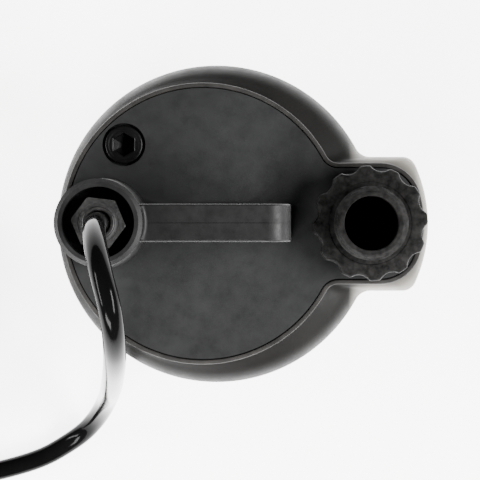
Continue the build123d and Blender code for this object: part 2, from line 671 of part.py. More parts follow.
# --- Motor: stator held on the through bolts between sleeves, under the upper bearing bracket ---
with BuildPart() as stator_core:
    with BuildSketch(Plane.XY.offset(CORE_LOW)):
        with Locations((SHAFT_X, 0)):
            Circle(STATOR_R)
        with Locations(*around(BOLT_CIRCLE - 1.5, BOLT_TURNS)):
            Rectangle(8, 9)
        with Locations((SHAFT_X, 0)):
            Circle(BORE_R, mode=Mode.SUBTRACT)
            with PolarLocations(BORE_R + 3.5, 18):
                Rectangle(9, 3.2, mode=Mode.SUBTRACT)
        with Locations(*around(BOLT_CIRCLE, BOLT_TURNS)):
            Circle(BOLT_R + 0.1, mode=Mode.SUBTRACT)
    extrude(amount=CORE_TOP - CORE_LOW)
save(stator_core, "stator_core")
for name, low in (("lower_winding", CORE_LOW - WINDING_HIGH), ("upper_winding", CORE_TOP)):
    with BuildPart() as winding:
        with BuildSketch(Plane.XY.offset(low)):
            with Locations((SHAFT_X, 0)):
                Circle(WINDING_R)
                Circle(BORE_R + 2, mode=Mode.SUBTRACT)
        extrude(amount=WINDING_HIGH)
        outside = winding.edges().group_by(Axis.Z)[0 if low < CORE_LOW else -1]
        fillet(outside, 4.0)
    save(winding, name)
with BuildPart() as sleeves:
    for low, high in ((CASE_SPLIT + 5, CORE_LOW), (CORE_TOP, BRACKET_LOW)):
        with BuildSketch(Plane.XY.offset(low)):
            with Locations(*around(BOLT_CIRCLE, BOLT_TURNS)):
                Circle(4.0)
                Circle(BOLT_R + 0.1, mode=Mode.SUBTRACT)
        extrude(amount=high - low)
save(sleeves, "spacer_sleeves")
with BuildPart() as bearing_bracket:
    with BuildSketch(Plane.XY.offset(BRACKET_LOW)):
        with Locations((SHAFT_X, 0)):
            Circle(BEARING_BOSS_R)
        with Locations(*around(BOLT_CIRCLE / 2, BOLT_TURNS)):
            Rectangle(BOLT_CIRCLE, 8)
        with Locations(*around(BOLT_CIRCLE, BOLT_TURNS)):
            Circle(5.0)
    extrude(amount=BRACKET_TOP - BRACKET_LOW)
    with BuildSketch(Plane.XY.offset(UPPER_BEARING)):
        with Locations((SHAFT_X, 0)):
            Circle(BEARING_BOSS_R)
    extrude(amount=BRACKET_LOW - UPPER_BEARING)
    with BuildSketch(Plane.XY.offset(UPPER_BEARING)):
        with Locations((SHAFT_X, 0)):
            Circle(BEARING_R)
    extrude(amount=BEARING_WIDE, mode=Mode.SUBTRACT)
    with BuildSketch(Plane.XY.offset(BRACKET_LOW)):
        with Locations((SHAFT_X, 0)):
            Circle(SHAFT_R + 1)
        with Locations(*around(BOLT_CIRCLE, BOLT_TURNS)):
            Circle(BOLT_R + 0.1)
    extrude(amount=10, mode=Mode.SUBTRACT)
save(bearing_bracket, "upper_bearing_bracket")

# --- Bearings: outer rings and balls stay with the housing, inner rings turn ---
for name, low in (("lower", LOWER_BEARING), ("upper", UPPER_BEARING)):
    with BuildPart() as outer_race:
        with Locations((SHAFT_X, 0, low)):
            Cylinder(BEARING_R, BEARING_WIDE, align=(Align.CENTER, Align.CENTER, Align.MIN))
            Cylinder(BALL_CIRCLE + 1.3, BEARING_WIDE, mode=Mode.SUBTRACT,
                     align=(Align.CENTER, Align.CENTER, Align.MIN))
        with Locations((SHAFT_X, 0, low + BEARING_WIDE / 2)):
            Torus(BALL_CIRCLE, BALL_R + FIT, mode=Mode.SUBTRACT)
    save(outer_race, f"{name}_bearing_outer_ring")
    with BuildPart() as inner_race:
        with Locations((SHAFT_X, 0, low)):
            Cylinder(BALL_CIRCLE - 1.3, BEARING_WIDE, align=(Align.CENTER, Align.CENTER, Align.MIN))
            Cylinder(SHAFT_R, BEARING_WIDE, mode=Mode.SUBTRACT,
                     align=(Align.CENTER, Align.CENTER, Align.MIN))
        with Locations((SHAFT_X, 0, low + BEARING_WIDE / 2)):
            Torus(BALL_CIRCLE, BALL_R + FIT, mode=Mode.SUBTRACT)
    save(inner_race, f"{name}_bearing_inner_ring")
with BuildPart() as balls:
    for low in (LOWER_BEARING, UPPER_BEARING):
        with Locations((SHAFT_X, 0, low + BEARING_WIDE / 2)):
            with PolarLocations(BALL_CIRCLE, 7):
                Sphere(BALL_R)
save(balls, "bearing_balls")

# --- Rotor: shaft, core, cage rings, seal head, impeller and its nut ---
with BuildPart() as shaft:
    with Locations((SHAFT_X, 0, SHAFT_LOW)):
        Cylinder(SHAFT_R, SHAFT_TOP - SHAFT_LOW, align=(Align.CENTER, Align.CENTER, Align.MIN))
    chamfer(shaft.edges().group_by(Axis.Z)[-1], 0.5)
save(shaft, "shaft")
save(ring(SHAFT_X, ROTOR_R, SHAFT_R, CORE_LOW, CORE_TOP), "rotor_core")
with BuildPart() as cage_rings:
    for low in (CORE_LOW - 4, CORE_TOP):
        with BuildSketch(Plane.XY.offset(low)):
            with Locations((SHAFT_X, 0)):
                Circle(ROTOR_R - 0.6)
                Circle(ROTOR_R - 6, mode=Mode.SUBTRACT)
        extrude(amount=4)
save(cage_rings, "rotor_cage_rings")
save(ring(SHAFT_X, 9.4, SHAFT_R + 1, CHAMBER_TOP + 0.8, CHAMBER_TOP + 5), "shaft_seal_seat")
save(ring(SHAFT_X, 7.6, SHAFT_R, IMPELLER_TOP, CHAMBER_TOP + 0.75), "shaft_seal_head")
with BuildPart() as impeller:
    with BuildSketch(Plane.XY.offset(IMPELLER_TOP - 3)):
        with Locations((SHAFT_X, 0)):
            Circle(IMPELLER_R)
    extrude(amount=3)
    with BuildSketch(Plane.XY.offset(IMPELLER_LOW)):
        for number in range(VANES):
            turn = 2 * math.pi * number / VANES
            spine = []
            for share in (0.0, 0.5, 1.0):
                reach = 6.0 + share * (IMPELLER_R - 7.0)
                angle = turn - 0.75 * share
                spine.append((SHAFT_X + reach * math.cos(angle), reach * math.sin(angle)))
            with BuildLine():
                ThreePointArc(*spine)
            trace(line_width=2.2)
    extrude(amount=IMPELLER_TOP - 3 - IMPELLER_LOW)
    with BuildSketch(Plane.XY.offset(IMPELLER_LOW + 1)):
        with Locations((SHAFT_X, 0)):
            Circle(8.0)
    extrude(amount=IMPELLER_TOP - IMPELLER_LOW - 1)
    with BuildSketch(Plane.XY.offset(IMPELLER_LOW)):
        with Locations((SHAFT_X, 0)):
            Circle(SHAFT_R)
    extrude(amount=20, mode=Mode.SUBTRACT)
save(impeller, "impeller")
with BuildPart() as impeller_nut:
    with BuildSketch(Plane.XY.offset(SHAFT_LOW - 2)):
        with Locations((SHAFT_X, 0)):
            RegularPolygon(5.6, 6)
    extrude(amount=IMPELLER_LOW + 1 - SHAFT_LOW + 2)
    with BuildSketch(Plane.XY.offset(SHAFT_LOW)):
        with Locations((SHAFT_X, 0)):
            Circle(SHAFT_R)
    extrude(amount=20, mode=Mode.SUBTRACT)
save(impeller_nut, "impeller_nut")

# --- Electrical parts in the oil space ---
with BuildPart() as run_capacitor:
    with BuildSketch(Plane(origin=(SHAFT_X - 8, -16, GASKET_TOP - CAPACITOR_R - 0.2), z_dir=(1, 0, 0))):
        Circle(CAPACITOR_R)
    extrude(amount=34)
    fillet(run_capacitor.edges(), 0.8)
save(run_capacitor, "run_capacitor")
with BuildPart() as thermal_protector:
    with Locations((SHAFT_X, 27, CORE_TOP + WINDING_HIGH + 1.75)):
        Box(14, 7, 3.5)
    fillet(thermal_protector.edges().filter_by(Axis.Z), 1.0)
save(thermal_protector, "thermal_protector")
with BuildPart() as lead_wires:
    for side in (-2.4, 0.0, 2.4):
        with BuildLine() as path:
            FilletPolyline((GLAND_X, side, STUB_LOW), (GLAND_X, side, 120.5),
                           (GLAND_X + 5, side, 116.2), (GLAND_X + 12, side, 116.0), radius=[3.0, 3.0])
        with BuildSketch(Plane(origin=path.line @ 0, z_dir=path.line % 0)):
            Circle(0.9)
        sweep(path=path.line)
save(lead_wires, "lead_wires")

# --- Inlet screen: a slotted cup that snaps up into the foot of the pump ---
with BuildPart() as inlet_screen:
    with BuildSketch(Plane.XY.offset(SCREEN_LIFT)):
        with Locations((SHAFT_X, 0)):
            Circle(SCREEN_R)
    extrude(amount=VOLUTE_LOW - 0.3 - SCREEN_LIFT)
    with BuildSketch(Plane.XY.offset(SCREEN_LIFT + SCREEN_WALL)):
        with Locations((SHAFT_X, 0)):
            Circle(SCREEN_R - SCREEN_WALL)
    extrude(amount=VOLUTE_LOW, mode=Mode.SUBTRACT)
    with BuildSketch(Plane.XY.offset(SCREEN_LIFT + 2.6)):
        with Locations((SHAFT_X, 0)):
            with PolarLocations(SCREEN_R, SCREEN_GAPS):
                Rectangle(8, 3.2)
    extrude(amount=VOLUTE_LOW - SCREEN_LIFT - 5.2, mode=Mode.SUBTRACT)
    with BuildSketch(Plane.XY.offset(SCREEN_LIFT)):
        with Locations((SHAFT_X, 0)):
            with PolarLocations(22, 18):
                SlotOverall(14, SCREEN_SLOT_WIDE)
            with PolarLocations(37, 30):
                SlotOverall(12, SCREEN_SLOT_WIDE)
    extrude(amount=SCREEN_WALL, mode=Mode.SUBTRACT)
save(inlet_screen, "inlet_screen")

# --- Mains lead: inner end, tube, coil, tail, tie, and a moulded three-pin plug ---
save(ring(GLAND_X, CORD_R - 0.02, 0.6, STUB_LOW, NUT_TOP), "lead_inner_end")
route_tube, route_length = cord_tube(ROUTE)
save(route_tube, "cord_tube")
tail_tube, tail_length = cord_tube(TAIL)
save(tail_tube, "cord_tail")
with BuildPart() as cord_coil:
    with BuildSketch(Plane(origin=(COIL_X, COIL_Y, 0), x_dir=(1, 0, 0), z_dir=(0, -1, 0))):
        with Locations((COIL_MID_R, COIL_LOW + COIL_HIGH / 2)):
            RectangleRounded(COIL_ROWS * COIL_PITCH, COIL_HIGH, CORD_R - 0.1)
    revolve(axis=Axis((COIL_X, COIL_Y, 0), (0, 0, 1)))
save(cord_coil, "cord_coil")
with BuildPart() as coil_tie:
    with BuildSketch(Plane(origin=(COIL_X, COIL_Y, 0), x_dir=(0, 1, 0), z_dir=(1, 0, 0))):
        with Locations((COIL_MID_R, COIL_LOW + COIL_HIGH / 2)):
            RectangleRounded(COIL_ROWS * COIL_PITCH + 2 * TIE_THICK, COIL_HIGH + 2 * TIE_THICK, CORD_R)
    extrude(amount=TIE_WIDE / 2, both=True)
    with BuildSketch(Plane(origin=(COIL_X, COIL_Y, 0), x_dir=(1, 0, 0), z_dir=(0, -1, 0))):
        with Locations((COIL_MID_R, COIL_LOW + COIL_HIGH / 2)):
            RectangleRounded(COIL_ROWS * COIL_PITCH, COIL_HIGH, CORD_R - 0.1)
    revolve(axis=Axis((COIL_X, COIL_Y, 0), (0, 0, 1)), mode=Mode.SUBTRACT)
save(coil_tie, "coil_tie")

plug_place = Location((TAIL[-1][0], TAIL[-1][1], PLUG_MIDDLE), (0, 0, PLUG_TURN))
with BuildPart() as plug_strain_relief:
    with BuildSketch(Plane.YZ):
        Circle(CORD_R + 0.9)
    with BuildSketch(Plane.YZ.offset(RELIEF_LONG)):
        Circle(CORD_R + 3.2)
    loft()
    with BuildSketch(Plane.YZ):
        Circle(CORD_R + 0.02)
    extrude(amount=3, mode=Mode.SUBTRACT)
    for number in range(RELIEF_GROOVES):
        with BuildSketch(Plane.YZ.offset(4.0 + RELIEF_PITCH * number)):
            Circle(CORD_R + 4)
            Circle(CORD_R + 0.5, mode=Mode.SUBTRACT)
        extrude(amount=1.3, mode=Mode.SUBTRACT)
with BuildPart() as relief_placed:
    add(plug_strain_relief.part.moved(plug_place))
save(relief_placed, "plug_strain_relief")
with BuildPart() as plug_body:
    with BuildSketch(Plane.YZ.offset(RELIEF_LONG)):
        RectangleRounded(15, 15, 7)
    with BuildSketch(Plane.YZ.offset(RELIEF_LONG + 9)):
        RectangleRounded(23, 25, 8)
    with BuildSketch(Plane.YZ.offset(RELIEF_LONG + PLUG_LONG)):
        RectangleRounded(25.6, 26.8, 8)
    loft(ruled=True)
with BuildPart() as body_placed:
    add(plug_body.part.moved(plug_place))
save(body_placed, "plug_body")
with BuildPart() as plug_blades:
    with BuildSketch(Plane.YZ.offset(RELIEF_LONG + PLUG_LONG)):
        with Locations((-BLADE_OUT, -BLADE_DROP), (BLADE_OUT, -BLADE_DROP)):
            Rectangle(BLADE_THICK, BLADE_WIDE)
    extrude(amount=BLADE_LONG)
    chamfer(plug_blades.edges().group_by(Axis.X)[-1], 0.5)
    with BuildSketch(Plane.YZ.offset(RELIEF_LONG + PLUG_LONG)):
        with Locations((0, PIN_RISE)):
            Circle(PIN_R)
    extrude(amount=PIN_LONG)
with BuildPart() as blades_placed:
    add(plug_blades.part.moved(plug_place))
save(blades_placed, "plug_blades")

coil_length = COIL_ROWS * COIL_LAYERS * 2 * math.pi * COIL_MID_R
print("cord length", round(route_length + coil_length + tail_length, 1))
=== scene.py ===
import math

import bpy
import numpy as np
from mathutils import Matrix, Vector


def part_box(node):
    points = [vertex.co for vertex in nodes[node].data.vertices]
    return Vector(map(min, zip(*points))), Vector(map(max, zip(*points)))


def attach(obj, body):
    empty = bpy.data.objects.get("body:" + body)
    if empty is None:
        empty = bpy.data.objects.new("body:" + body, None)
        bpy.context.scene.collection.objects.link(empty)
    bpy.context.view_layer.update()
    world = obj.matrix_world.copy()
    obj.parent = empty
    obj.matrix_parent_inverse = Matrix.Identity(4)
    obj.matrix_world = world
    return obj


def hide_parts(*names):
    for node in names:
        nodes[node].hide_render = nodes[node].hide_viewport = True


# A round submersible pump with a moulded handle, a gland tower, a lobed hose adapter and a mains lead.
# Metres, in the part's own frame: origin on the floor under the pump, +Z up, +X to the discharge.

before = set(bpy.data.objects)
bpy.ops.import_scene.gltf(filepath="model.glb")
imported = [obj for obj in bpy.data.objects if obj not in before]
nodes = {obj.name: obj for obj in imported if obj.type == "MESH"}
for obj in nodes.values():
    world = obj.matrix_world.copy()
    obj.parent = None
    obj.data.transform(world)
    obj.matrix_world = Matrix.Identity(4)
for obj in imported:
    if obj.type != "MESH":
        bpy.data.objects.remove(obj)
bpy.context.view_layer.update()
MM = 0.001


def middle(node):
    """The plan centre of a node's box."""
    low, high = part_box(node)
    return (low.x + high.x) / 2, (low.y + high.y) / 2


SHAFT_X = middle("shaft")[0]
GLAND_X = middle("gland_grommet")[0]
OUTLET_X = middle("adapter_washer")[0]
OIL_X, OIL_Y = middle("oil_plug_washer")
NUT_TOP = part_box("lead_inner_end")[1].z

# --- Camera: straight down from a little over a metre, the discharge to the right ---
camera_data = bpy.data.cameras.new("overhead_camera")
camera_data.sensor_width = 36.0
camera_data.lens = 216.0
camera_data.clip_start = 0.05
camera_data.clip_end = 10.0
camera = bpy.data.objects.new("overhead_camera", camera_data)
camera.location = (-0.00123, -0.00606, 1.2)
bpy.context.scene.collection.objects.link(camera)
bpy.context.scene.camera = camera

# --- Mains lead: one smooth curve from the gland nut to the plug ---
CORD_D = 0.008
COIL_X = -0.164
COIL_Y = -0.050
COIL_STEPS = 24
COIL_END = 9.25
PLUG_TURN = math.radians(20)
PLUG_MIDDLE = 13.6  # in millimetres, as the plug is laid out
ROUTE = [
    (GLAND_X, 0.0, NUT_TOP),
    (-0.0512, -0.0003, 0.1990),
    (-0.0513, -0.0014, 0.2100),
    (-0.0510, -0.0042, 0.2210),
    (-0.0497, -0.0096, 0.2305),
    (-0.0477, -0.0176, 0.2368),
    (-0.0449, -0.0275, 0.2378),
    (-0.0438, -0.0366, 0.2323),
    (-0.0438, -0.0430, 0.2228),
    (-0.0443, -0.0472, 0.2105),
    (-0.0451, -0.0506, 0.1960),
    (-0.0462, -0.0538, 0.1780),
    (-0.0475, -0.0572, 0.1560),
    (-0.0490, -0.0606, 0.1310),
    (-0.0506, -0.0636, 0.1040),
    (-0.0521, -0.0660, 0.0780),
    (-0.0535, -0.0681, 0.0560),
    (-0.0550, -0.0709, 0.0385),
    (-0.0573, -0.0749, 0.0245),
    (-0.0606, -0.0800, 0.0135),
    (-0.0659, -0.0858, 0.0068),
    (-0.0740, -0.0914, CORD_D / 2),
    (-0.0826, -0.0963, CORD_D / 2),
    (-0.0953, -0.1004, CORD_D / 2),
    (-0.1105, -0.1038, CORD_D / 2),
    (-0.1280, -0.1056, CORD_D / 2),
    (-0.1480, -0.1060, CORD_D / 2),
]
TAIL = [
    (-0.2222, -0.0330, 0.0108),
    (-0.2200, -0.0150, 0.0052),
    (-0.2150, 0.0020, 0.0046),
    (-0.2065, 0.0155, 0.0066),
    (-0.1945, 0.0270, 0.0098),
    (-0.1785, 0.0330, 0.0130),
]
# Radius and height of the coil's turns: (turns wound, millimetres). Each turn steps over where its
# neighbours do, so the turns lie beside and on each other, and the last one crosses over the top.
COIL_RADIUS = [(0.0, 58.0), (0.2, 58.0), (0.4, 49.8), (1.2, 49.8), (1.4, 41.6), (2.2, 41.6), (2.4, 33.4),
               (3.8, 33.4), (4.0, 41.6), (4.8, 41.6), (5.0, 49.8), (6.8, 49.8), (7.0, 41.6), (7.8, 41.6),
               (8.0, 33.4), (8.8, 33.4), (9.15, 58.0), (9.3, 58.2)]
COIL_HEIGHT = [(0.0, 4.1), (3.0, 4.1), (3.2, 12.3), (5.6, 12.3), (5.8, 20.5), (8.6, 20.5), (8.8, 28.7),
               (9.1, 28.7), (9.4, 6.0)]


def coil_points():
    """Clockwise turns about the coil's centre, from its lowest side in plan, at 24 points a turn."""
    wound = np.arange(1, int(COIL_END * COIL_STEPS) + 1) / COIL_STEPS
    radius = np.interp(wound, *np.array(COIL_RADIUS).T) * MM
    height = np.interp(wound, *np.array(COIL_HEIGHT).T) * MM
    angle = -math.pi / 2 - 2 * math.pi * wound
    return np.stack([COIL_X + radius * np.cos(angle), COIL_Y + radius * np.sin(angle), height], axis=1)


lead_points = np.concatenate([np.array(ROUTE), coil_points(), np.array(TAIL)])
lead_curve = bpy.data.curves.new("mains_lead", "CURVE")
lead_curve.dimensions = "3D"
lead_curve.bevel_depth = 1.0
lead_curve.bevel_resolution = 6
lead_curve.resolution_u = 6
lead_curve.use_fill_caps = True
spline = lead_curve.splines.new("NURBS")
spline.points.add(len(lead_points) - 1)
spline.points.foreach_set("co", np.c_[lead_points, np.ones(len(lead_points))].ravel())
spline.points.foreach_set("radius", np.full(len(lead_points), CORD_D / 2))
spline.order_u = 3
spline.use_endpoint_u = True
lead = bpy.data.objects.new("mains_lead", lead_curve)
bpy.context.scene.collection.objects.link(lead)
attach(lead, "housing")
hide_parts("cord_tube", "cord_coil", "cord_tail")

# --- Floor and lights ---


def shader(name):
    """A new material with its node tree and its main shader."""
    made = bpy.data.materials.new(name)
    made.use_nodes = True
    return made, made.node_tree, made.node_tree.nodes["Principled BSDF"]


def floor():
    """A pale sheet under the object."""
    size = 3.0
    mesh = bpy.data.meshes.new("floor")
    corners = [(-size, -size, 0), (size, -size, 0), (size, size, 0), (-size, size, 0)]
    mesh.from_pydata(corners, [], [(0, 1, 2, 3)])
    made = bpy.data.objects.new("floor", mesh)
    bpy.context.scene.collection.objects.link(made)
    material, _, main = shader("floor_paper")
    main.inputs["Base Color"].default_value = (0.86, 0.86, 0.86, 1)
    main.inputs["Roughness"].default_value = 0.9
    main.inputs["Specular IOR Level"].default_value = 0.1
    main.inputs["Emission Color"].default_value = (1, 1, 1, 1)
    main.inputs["Emission Strength"].default_value = 5.0
    mesh.materials.append(material)


def soft_box(name, place, turn, size, power):
    """A rectangular area light."""
    data = bpy.data.lights.new(name, "AREA")
    data.shape = "RECTANGLE"
    data.size, data.size_y = size
    data.energy = power
    made = bpy.data.objects.new(name, data)
    made.location = place
    made.rotation_euler = [math.radians(t) for t in turn]
    bpy.context.scene.collection.objects.link(made)


floor()
soft_box("left_light", (-1.45, -0.15, 0.85), (0, -60, 0), (0.25, 1.3), 46)
soft_box("right_light", (1.2, -0.25, 1.25), (0, 44, 0), (0.3, 1.3), 90)
soft_box("front_light", (-0.45, -1.0, 0.7), (55, 0, -25), (0.7, 0.3), 34)
world = bpy.data.worlds.new("studio")
world.use_nodes = True
world.node_tree.nodes["Background"].inputs["Color"].default_value = (1, 1, 1, 1)
world.node_tree.nodes["Background"].inputs["Strength"].default_value = 0.06
bpy.context.scene.world = world

# --- Materials ---
GRAIN = 2600.0
TOOLING = 300.0


def node(tree, kind, **values):
    """A shader node, with its plain settings and its sockets' constants set by name."""
    made = tree.nodes.new(kind)
    for key, value in values.items():
        if key in made.inputs:
            made.inputs[key].default_value = value
        else:
            setattr(made, key, value)
    return made


def pattern(tree, scale, detail=3.0, roughness=0.55, stretch=(1, 1, 1)):
    """Noise over the object's own coordinates, as a value from about 0 to 1."""
    place = node(tree, "ShaderNodeTexCoord")
    turn = node(tree, "ShaderNodeMapping", Scale=stretch)
    noise = node(tree, "ShaderNodeTexNoise", Scale=scale, Detail=detail, Roughness=roughness)
    tree.links.new(place.outputs["Object"], turn.inputs["Vector"])
    tree.links.new(turn.outputs["Vector"], noise.inputs["Vector"])
    return noise.outputs["Fac"]


def ramp(tree, source, low, high, start, end):
    """A value or colour that goes from start to end as source goes from low to high."""
    made = node(tree, "ShaderNodeValToRGB")
    first, last = made.color_ramp.elements
    first.position, last.position = low, high
    first.color = (*start, 1) if isinstance(start, tuple) else (start, start, start, 1)
    last.color = (*end, 1) if isinstance(end, tuple) else (end, end, end, 1)
    tree.links.new(source, made.inputs["Fac"])
    return made.outputs["Color"]


def bumps(tree, main, layers):
    """Stacked bump maps: (height source, strength, depth in metres) for each layer."""
    normal = None
    for source, strength, depth in layers:
        made = node(tree, "ShaderNodeBump", Strength=strength, Distance=depth)
        tree.links.new(source, made.inputs["Height"])
        if normal is not None:
            tree.links.new(normal, made.inputs["Normal"])
        normal = made.outputs["Normal"]
    tree.links.new(normal, main.inputs["Normal"])


def plastic(name, dark, light, rough=(0.42, 0.62), cloud=38.0, specular=0.5, depth=0.00005):
    """A moulded plastic: cloudy colour, uneven gloss and a fine grain in the surface."""
    made, tree, main = shader(name)
    clouds = pattern(tree, cloud, 5.0, 0.6)
    fine = pattern(tree, GRAIN, 2.0, 0.5)
    smear = pattern(tree, cloud * 4.3, 4.0, 0.65)
    tree.links.new(ramp(tree, clouds, 0.3, 0.72, dark, light), main.inputs["Base Color"])
    tree.links.new(ramp(tree, smear, 0.3, 0.7, rough[0], rough[1]), main.inputs["Roughness"])
    main.inputs["Specular IOR Level"].default_value = specular
    bumps(tree, main, [(fine, 0.5, depth), (smear, 0.25, depth)])
    return made


def metal(name, dark, light, rough=(0.22, 0.4), stretch=(1, 1, 8)):
    """A bare metal with fine tooling marks along one axis."""
    made, tree, main = shader(name)
    marks = pattern(tree, TOOLING, 4.0, 0.7, stretch)
    tree.links.new(ramp(tree, marks, 0.3, 0.7, dark, light), main.inputs["Base Color"])
    tree.links.new(ramp(tree, marks, 0.3, 0.7, rough[0], rough[1]), main.inputs["Roughness"])
    main.inputs["Metallic"].default_value = 1.0
    bumps(tree, main, [(marks, 0.2, 0.00003)])
    return made


def zone(tree, axes):
    """A value that is 1 in one zone of the object and 0 outside it: the product of the zone's ramps."""
    place = node(tree, "ShaderNodeTexCoord")
    split = node(tree, "ShaderNodeSeparateXYZ")
    tree.links.new(place.outputs["Object"], split.inputs["Vector"])
    whole = None
    for axis, low, high, start, end in axes:
        part = ramp(tree, split.outputs[axis], low, high, start, end)
        if whole is not None:
            product = node(tree, "ShaderNodeMath", operation="MULTIPLY")
            tree.links.new(whole, product.inputs[0])
            tree.links.new(part, product.inputs[1])
            part = product.outputs[0]
        whole = part
    return whole


def zoned(made, axes, dark, light, scale):
    """Gives a material a second cloudy colour inside a zone."""
    tree = made.node_tree
    main = tree.nodes["Principled BSDF"]
    plain = main.inputs["Base Color"].links[0].from_socket
    second = ramp(tree, pattern(tree, scale, 5.0, 0.6), 0.3, 0.7, dark, light)
    mixed = node(tree, "ShaderNodeMix", data_type="RGBA")
    tree.links.new(zone(tree, axes), mixed.inputs[0])
    tree.links.new(plain, mixed.inputs[6])
    tree.links.new(second, mixed.inputs[7])
    tree.links.new(mixed.outputs[2], main.inputs["Base Color"])


# Zones: a ramp along each axis, as (axis, from, to, value before, value after)
# Painted reflection: the discharge block's shoulder walls get a pale warm grey that stands in for the white
# floor mirrored in them.
BLOCK_PAINTED_REFLECTION = [("X", 0.0400, 0.0445, 0.0, 1.0), ("Z", 0.1325, 0.1365, 1.0, 0.0),
                  ("Z", 0.104, 0.118, 0.0, 1.0)]
# Painted highlight: a lighter band along the top of the housing's rim stands in for the light its edge
# catches.
RIM_PAINTED_HIGHLIGHT = [("Z", 0.1400, 0.1415, 0.0, 1.0)]
ABOVE_COVER = [("Z", 0.1425, 0.150, 0.0, 1.0)]

PLASTICS = {
    "housing_plastic": dict(dark=(0.0055, 0.0053, 0.005), light=(0.010, 0.0096, 0.0091),
                            rough=(0.42, 0.56), specular=0.09),
    "cover_plastic": dict(dark=(0.0088, 0.009, 0.0092), light=(0.0142, 0.0145, 0.0147), specular=0.24),
    "nut_plastic": dict(dark=(0.006, 0.006, 0.006), light=(0.016, 0.015, 0.0145), rough=(0.3, 0.6),
                        cloud=240.0),
    "plug_plastic": dict(dark=(0.0015, 0.0015, 0.0015), light=(0.004, 0.004, 0.004), rough=(0.3, 0.45),
                         specular=0.14),
    "adapter_plastic": dict(dark=(0.0012, 0.0012, 0.0011), light=(0.017, 0.0165, 0.016),
                            rough=(0.4, 0.7), cloud=430.0, specular=0.07, depth=0.00012),
    "pump_plastic": dict(dark=(0.014, 0.014, 0.014), light=(0.022, 0.022, 0.022)),
    "cord_pvc": dict(dark=(0.0015, 0.0015, 0.0015), light=(0.003, 0.003, 0.003), rough=(0.08, 0.14),
                     specular=0.045, depth=0.00001),
    "plug_pvc": dict(dark=(0.006, 0.006, 0.006), light=(0.012, 0.012, 0.012), rough=(0.25, 0.4)),
    "tie_fabric": dict(dark=(0.01, 0.01, 0.011), light=(0.03, 0.03, 0.032), rough=(0.8, 0.95),
                       depth=0.0002),
    "wire_pvc": dict(dark=(0.02, 0.06, 0.02), light=(0.04, 0.1, 0.04)),
    "seal_rubber": dict(dark=(0.012, 0.012, 0.012), light=(0.02, 0.02, 0.02), rough=(0.6, 0.8)),
    "seal_ceramic": dict(dark=(0.7, 0.68, 0.62), light=(0.8, 0.78, 0.72), rough=(0.2, 0.3)),
    "capacitor_case": dict(dark=(0.4, 0.4, 0.38), light=(0.5, 0.5, 0.48)),
}
METALS = {
    "bright_steel": dict(dark=(0.55, 0.55, 0.54), light=(0.66, 0.66, 0.65)),
    "bearing_steel": dict(dark=(0.5, 0.5, 0.5), light=(0.7, 0.7, 0.7), rough=(0.12, 0.22)),
    "core_steel": dict(dark=(0.2, 0.2, 0.21), light=(0.34, 0.34, 0.35), rough=(0.4, 0.6),
                       stretch=(1, 1, 60)),
    "cast_alloy": dict(dark=(0.45, 0.45, 0.44), light=(0.6, 0.6, 0.58), rough=(0.45, 0.6),
                       stretch=(1, 1, 1)),
    "winding_copper": dict(dark=(0.5, 0.2, 0.09), light=(0.75, 0.36, 0.18), rough=(0.25, 0.4)),
    "brass_blades": dict(dark=(0.6, 0.45, 0.2), light=(0.75, 0.6, 0.3), rough=(0.2, 0.32),
                         stretch=(8, 1, 1)),
}
finishes = {name: plastic(name, **values) for name, values in PLASTICS.items()}
finishes |= {name: metal(name, **values) for name, values in METALS.items()}
# Painted reflection of the floor, in pale warm grey, on the discharge block's shoulder walls.
zoned(finishes["housing_plastic"], BLOCK_PAINTED_REFLECTION, (0.17, 0.16, 0.14), (0.24, 0.225, 0.2), 60.0)
# Painted highlight: a lighter band along the rim's top.
zoned(finishes["housing_plastic"], RIM_PAINTED_HIGHLIGHT, (0.018, 0.0172, 0.0165), (0.048, 0.0455, 0.043), 110.0)
zoned(finishes["cover_plastic"], ABOVE_COVER, (0.004, 0.004, 0.004), (0.0075, 0.0075, 0.0074), 90.0)
for cad_node in nodes.values():
    for place in cad_node.material_slots:
        place.material = finishes[place.material.name.split(".")[0]]
lead_curve.materials.append(finishes["cord_pvc"])

# --- Surfaces: grids of points worked out as whole arrays, in millimetres until they are built ---


def surface(name, grid, finish, body="housing", closed=False, sharp=32, nodes_replaced=()):
    """A mesh whose rows each run once round. The rows close on themselves, or end in two flat caps.

    Signed volume, the sum of each face's corner dotted with the cross product of its next two, tells
    which way the faces point, and they are turned to point outwards."""
    rows, columns = grid.shape[:2]
    points = grid.reshape(-1, 3) * MM
    index = np.arange(rows * columns).reshape(rows, columns)
    after = np.roll(index, -1, axis=1)
    if closed:
        quads = np.stack([index, after, np.roll(after, -1, axis=0), np.roll(index, -1, axis=0)], -1)
    else:
        quads = np.stack([index[:-1], after[:-1], after[1:], index[1:]], -1)
    quads = quads.reshape(-1, 4)
    centred = points - points.mean(axis=0)
    first, second, third, fourth = (centred[quads[:, corner]] for corner in range(4))
    volume = np.sum(first * np.cross(second, third)) + np.sum(first * np.cross(third, fourth))
    faces = quads.tolist()
    if not closed:
        faces += [index[0, ::-1].tolist(), index[-1].tolist()]
    if volume < 0:
        faces = [face[::-1] for face in faces]
    mesh = bpy.data.meshes.new(name)
    mesh.from_pydata(points.tolist(), [], faces)
    mesh.shade_smooth()
    mesh.set_sharp_from_angle(angle=math.radians(sharp))
    mesh.materials.append(finishes[finish])
    made = bpy.data.objects.new(name, mesh)
    bpy.context.scene.collection.objects.link(made)
    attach(made, body)
    if nodes_replaced:
        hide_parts(*nodes_replaced)
    return made


def turned(name, profile, finish, centre, columns=128, **more):
    """A body of revolution about an upright axis: each row is a circle of the profile's radius, or of a
    radius that changes with the angle, at the profile's level."""
    angle = np.linspace(0, 2 * math.pi, columns, endpoint=False)
    radius = np.stack([row(angle) if callable(row) else np.full(columns, row) for row, _ in profile])
    level = np.array([level for _, level in profile])
    x = centre[0] / MM + radius * np.cos(angle)
    y = centre[1] / MM + radius * np.sin(angle)
    z = np.repeat(level[:, None], columns, axis=1)
    return surface(name, np.stack([x, y, z], axis=-1), finish, **more)


